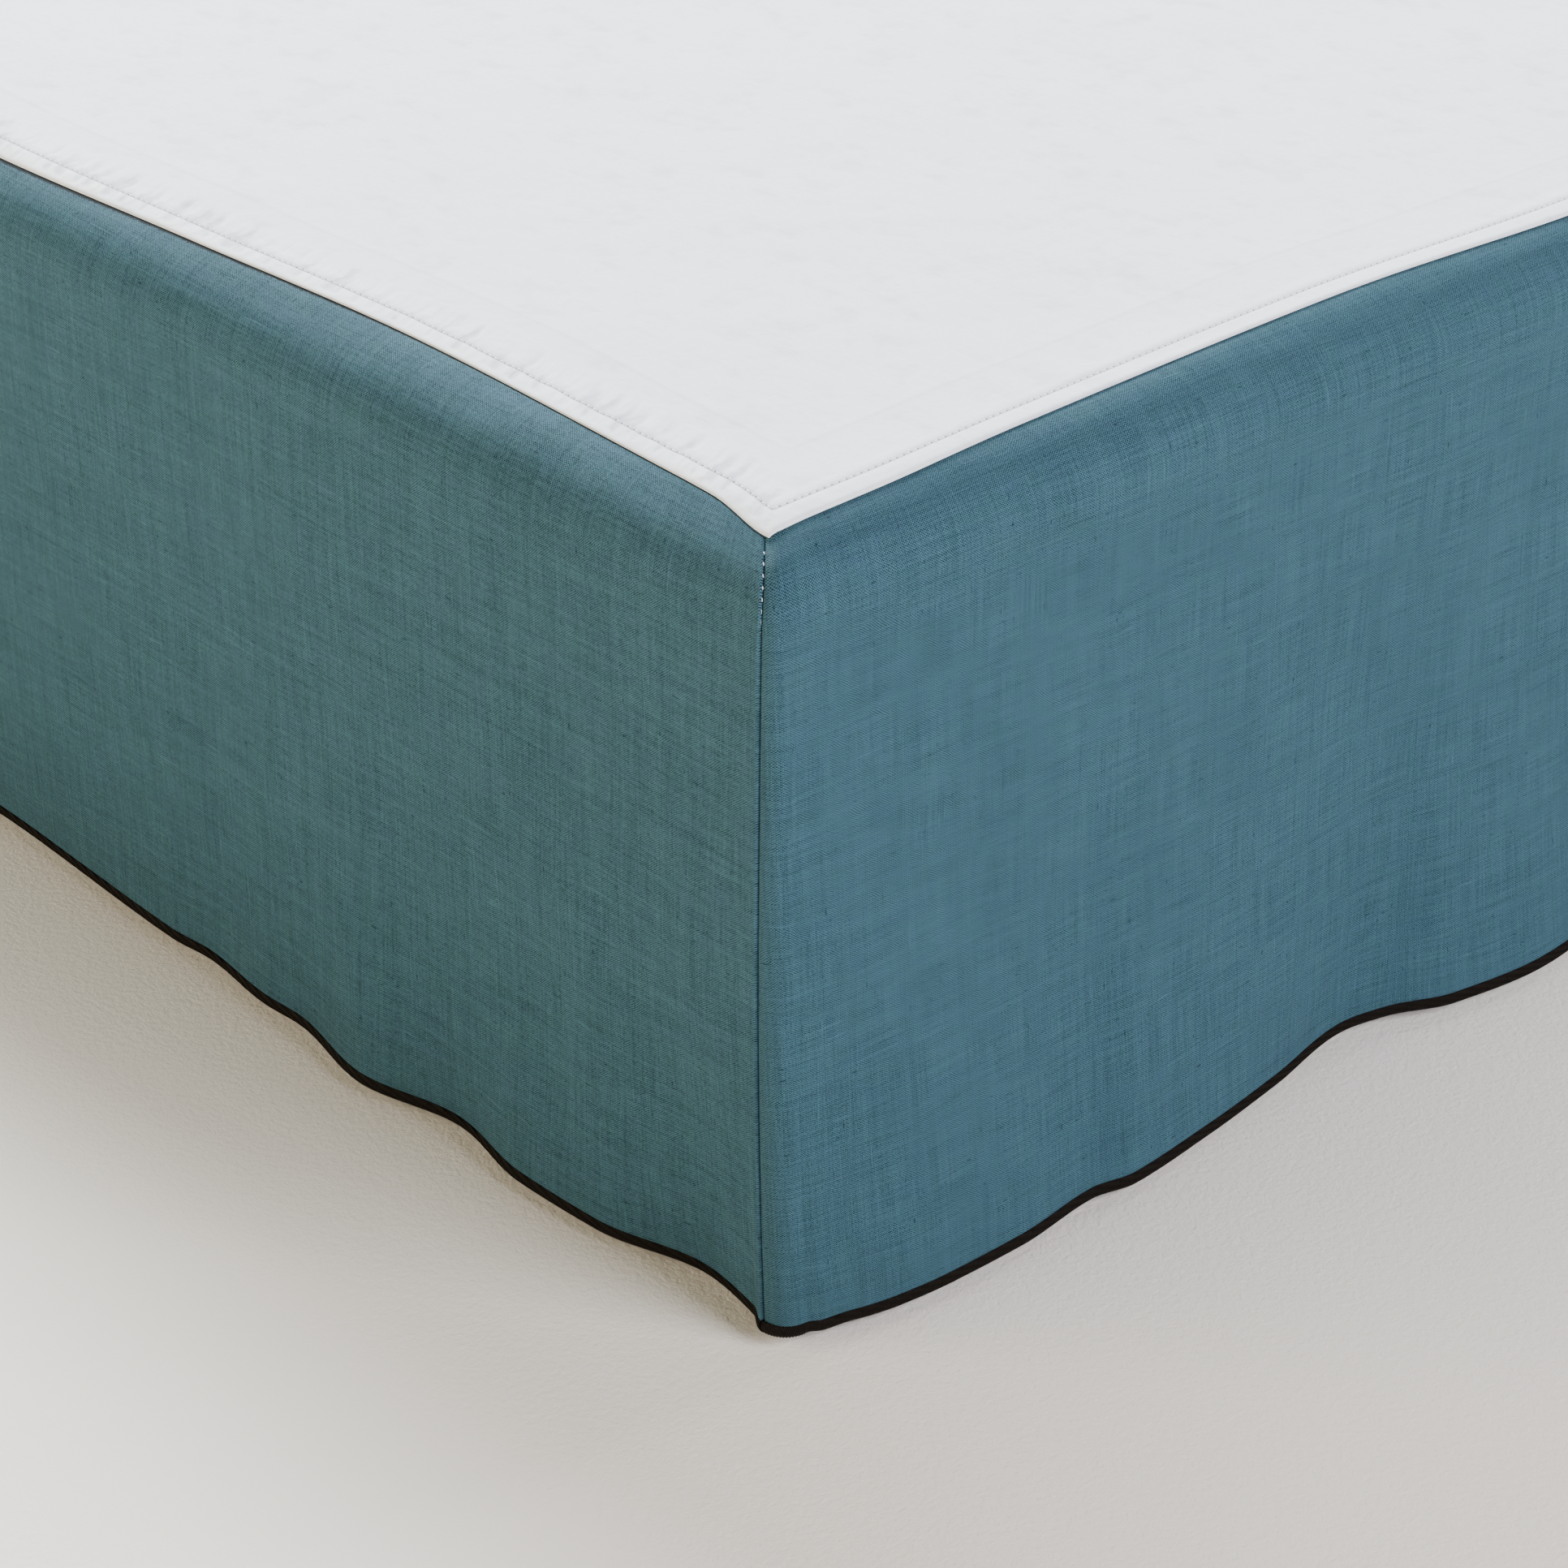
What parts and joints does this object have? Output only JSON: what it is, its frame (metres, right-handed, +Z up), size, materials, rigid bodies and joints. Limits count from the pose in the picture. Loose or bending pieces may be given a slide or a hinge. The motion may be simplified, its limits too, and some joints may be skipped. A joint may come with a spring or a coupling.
{
  "type": "box spring cover",
  "caption": "Fitted cover for a double bed's box spring, with a white deck, plain side panels and a dark stitched hem, hollow and open below.",
  "frame": {"origin": "middle of the deck's flat underside, where it lies on the box spring's top", "axes": "+Y along the bed from foot to head, +Z up, +X to the right side of the bed seen from its foot"},
  "size_m": [1.4432, 1.93, 0.3027],
  "materials": {
    "white_cotton": "matte plain weave",
    "teal_linen": "slubby plain weave with a soft sheen",
    "dark_thread": "dense stitching, slightly lustrous"
  },
  "bodies": {
    "root": {"deck": "white_cotton", "foot_panel": "teal_linen", "right_panel": "teal_linen", "head_panel": "teal_linen", "left_panel": "teal_linen", "hem_edging": "dark_thread"}
  },
  "joints": []
}
